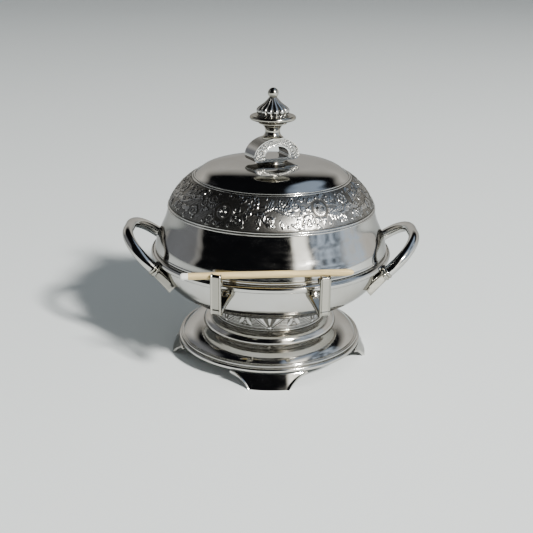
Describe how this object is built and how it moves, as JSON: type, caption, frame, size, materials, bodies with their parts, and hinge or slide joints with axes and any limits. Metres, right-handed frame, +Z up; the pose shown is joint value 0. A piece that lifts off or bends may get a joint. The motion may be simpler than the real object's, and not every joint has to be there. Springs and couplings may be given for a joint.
{
  "type": "covered dish",
  "caption": "Domed covered table dish on a flared pedestal with bracket feet, loop handles, knife rests, a lift-off cover with a chased band and knob, and a pierced drainer.",
  "frame": {"origin": "centre of the circle of feet, on the ground", "axes": "+Z up the pedestal, -Y towards the front with the knife rests, +X to the viewer's right through one handle"},
  "size_m": [0.2002, 0.1719, 0.1831],
  "materials": {
    "silver_plate": "polished silver plate with light handling wear",
    "chased_silver": "chased and darkened silver plate, bright on the high spots",
    "brass_fixing": "plain brass fixings inside the cover",
    "wood": "plain pale softwood with a fine grain",
    "white_tip": "matt white coating"
  },
  "bodies": {
    "dish": {"base_dish": "silver_plate", "base_lower_bead": "silver_plate", "base_upper_bead": "silver_plate", "bowl_floor": "silver_plate", "bowl_shell": "silver_plate", "collar_back_left": "silver_plate", "collar_back_right": "silver_plate", "collar_front_left": "silver_plate", "collar_front_right": "silver_plate", "drainer_ledge": "silver_plate", "foot_back": "silver_plate", "foot_front": "silver_plate", "foot_left": "silver_plate", "foot_right": "silver_plate", "handle_left": "silver_plate", "handle_right": "silver_plate", "knife_rest_left": "silver_plate", "knife_rest_right": "silver_plate", "neck_drum": "chased_silver", "neck_flare": "silver_plate", "neck_lower_wire": "silver_plate", "neck_upper_wire": "silver_plate", "rim_bead": "silver_plate", "seat_ledge": "silver_plate", "terminal_back_left": "silver_plate", "terminal_back_right": "silver_plate", "terminal_front_left": "silver_plate", "terminal_front_right": "silver_plate"},
    "cover": {"cover_dome": "silver_plate", "cover_foot_ring": "silver_plate", "cover_frieze": "chased_silver", "cover_lower_moulding": "silver_plate", "cover_upper_moulding": "silver_plate", "finial_ball": "silver_plate", "finial_collar": "silver_plate", "finial_disc": "silver_plate", "finial_loop": "chased_silver", "finial_nut": "brass_fixing", "finial_onion": "chased_silver", "finial_spool": "silver_plate", "finial_stud": "brass_fixing", "finial_washer": "brass_fixing"},
    "drainer": {"drainer_plate": "silver_plate", "drainer_rim": "silver_plate"},
    "stick": {"stick_tip": "white_tip", "stick_wood": "wood"}
  },
  "joints": [
    {"name": "cover_lift", "type": "slide", "parent": "dish", "child": "cover", "axis": [0, 0, 1], "range_m": [0, 0.12]},
    {"name": "drainer_lift", "type": "slide", "parent": "dish", "child": "drainer", "axis": [0, 0, 1], "range_m": [0, 0.035]},
    {"name": "stick_lift", "type": "slide", "parent": "dish", "child": "stick", "axis": [0, 0, 1], "range_m": [0, 0.06]}
  ]
}
